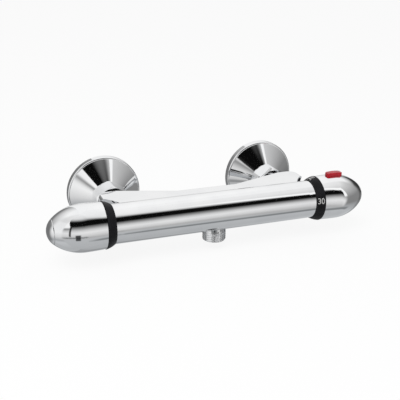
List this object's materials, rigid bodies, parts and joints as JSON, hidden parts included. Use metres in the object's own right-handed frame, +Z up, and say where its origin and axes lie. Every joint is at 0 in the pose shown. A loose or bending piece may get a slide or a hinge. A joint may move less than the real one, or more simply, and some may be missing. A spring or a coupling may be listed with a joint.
{
  "type": "thermostatic shower valve",
  "caption": "Wall-mounted thermostatic bar valve with rear fairing, bell flanges, a flow handle, a temperature handle with safety button, and a threaded hose outlet.",
  "frame": {"origin": "on the wall face, midway between the two inlet axes", "axes": "+X along the bar towards the temperature handle, +Y into the wall, +Z up"},
  "size_m": [0.2974, 0.1207, 0.0688],
  "materials": {
    "chromed_brass": "polished",
    "plain_brass": "machined",
    "black_plastic": "matt",
    "red_plastic": "gloss",
    "inner_plastic": "moulded",
    "white_plastic": "moulded",
    "spring_steel": "drawn wire",
    "strainer_steel": "perforated sheet",
    "seal_rubber": "matt",
    "disc_ceramic": "lapped",
    "wax_copper": "plain"
  },
  "bodies": {
    "valve": {"valve_body": "chromed_brass", "outlet_nipple": "chromed_brass", "outlet_oring": "seal_rubber", "temperature_ring": "black_plastic", "flow_ring": "black_plastic", "thermostat_lock_nut": "plain_brass", "flow_lock_nut": "plain_brass", "thermostat_housing": "inner_plastic", "thermostat_end_ring": "inner_plastic", "thermostat_orings": "seal_rubber", "return_spring": "spring_steel", "flow_housing": "plain_brass", "flow_oring": "seal_rubber", "port_seal": "seal_rubber", "fixed_ceramic_disc": "disc_ceramic", "temperature_stop_ring": "inner_plastic", "flow_stop_ring": "inner_plastic", "wall_connector_left": "chromed_brass", "wall_flange_left": "chromed_brass", "union_nut_left": "chromed_brass", "inlet_nipple_left": "chromed_brass", "union_washer_left": "seal_rubber", "inlet_strainer_left": "strainer_steel", "check_valve_cage_left": "white_plastic", "check_valve_spring_left": "spring_steel", "wall_connector_right": "chromed_brass", "wall_flange_right": "chromed_brass", "union_nut_right": "chromed_brass", "inlet_nipple_right": "chromed_brass", "union_washer_right": "seal_rubber", "inlet_strainer_right": "strainer_steel", "check_valve_cage_right": "white_plastic", "check_valve_spring_right": "spring_steel"},
    "temperature_handle": {"temperature_handle_shell": "chromed_brass", "temperature_handle_insert": "inner_plastic", "temperature_handle_cap": "chromed_brass", "temperature_handle_screw": "spring_steel", "regulating_spindle": "plain_brass", "regulating_spindle_oring": "seal_rubber", "button_spring": "spring_steel"},
    "flow_handle": {"flow_handle_shell": "chromed_brass", "flow_handle_insert": "inner_plastic", "flow_handle_cap": "chromed_brass", "flow_handle_screw": "spring_steel", "flow_spindle": "plain_brass", "flow_spindle_oring": "seal_rubber", "moving_ceramic_disc": "disc_ceramic"},
    "safety_button": {"safety_button": "red_plastic"},
    "thermostat_slide": {"drive_screw": "plain_brass", "overtravel_clip": "spring_steel", "piston_cap": "inner_plastic", "overtravel_spring": "spring_steel", "wax_element": "wax_copper", "mixing_shuttle": "white_plastic"},
    "check_poppet_left": {"check_valve_poppet_left": "white_plastic"},
    "check_poppet_right": {"check_valve_poppet_right": "white_plastic"}
  },
  "joints": [
    {"name": "temperature_turn", "type": "hinge", "parent": "valve", "child": "temperature_handle", "pos_m": [0.11, -0.084, 0], "axis": [1, 0, 0], "range_deg": [-120, 180]},
    {"name": "flow_turn", "type": "hinge", "parent": "valve", "child": "flow_handle", "pos_m": [-0.11, -0.084, 0], "axis": [1, 0, 0], "range_deg": [0, 90]},
    {"name": "button_press", "type": "slide", "parent": "temperature_handle", "child": "safety_button", "axis": [0, 0, -1], "range_m": [0, 0.0025], "stiffness_N_per_m": 500, "springref_m": -0.003, "deforming": ["button_spring"]},
    {"name": "thermostat_travel", "type": "slide", "parent": "valve", "child": "thermostat_slide", "axis": [1, 0, 0], "range_m": [-0.0011, 0.0008], "deforming": ["return_spring"]},
    {"name": "check_lift_left", "type": "slide", "parent": "valve", "child": "check_poppet_left", "axis": [0, -1, 0], "range_m": [0, 0.003], "stiffness_N_per_m": 80, "springref_m": -0.003, "deforming": ["check_valve_spring_left"]},
    {"name": "check_lift_right", "type": "slide", "parent": "valve", "child": "check_poppet_right", "axis": [0, -1, 0], "range_m": [0, 0.003], "stiffness_N_per_m": 80, "springref_m": -0.003, "deforming": ["check_valve_spring_right"]}
  ],
  "couplings": [
    {"joint": "thermostat_travel", "follows": "temperature_turn", "m_per_rad": -0.00031831}
  ]
}
